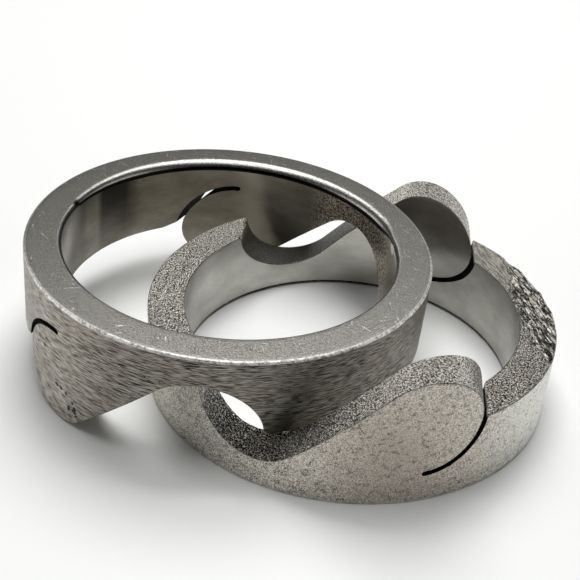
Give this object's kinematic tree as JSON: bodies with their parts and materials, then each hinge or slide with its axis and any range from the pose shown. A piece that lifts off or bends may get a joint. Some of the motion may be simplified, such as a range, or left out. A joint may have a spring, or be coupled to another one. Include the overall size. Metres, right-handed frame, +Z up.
{
  "type": "puzzle ring in two halves",
  "caption": "Plain wide steel finger ring cut by one wavy line into two interlocking halves, one lying on its rim and the other leaning over it.",
  "frame": {"origin": "middle of the pair's footprint, on the surface that it rests on", "axes": "+Z up from the surface, the lying half's cut runs along Y, its lobes are towards +X and the leaning half is towards -X"},
  "size_m": [0.0304, 0.0244, 0.0077],
  "materials": {
    "steel": "satin brushed, coarse where it is cut"
  },
  "bodies": {
    "root": {"lying_half": "steel", "leaning_half": "steel"}
  },
  "joints": []
}
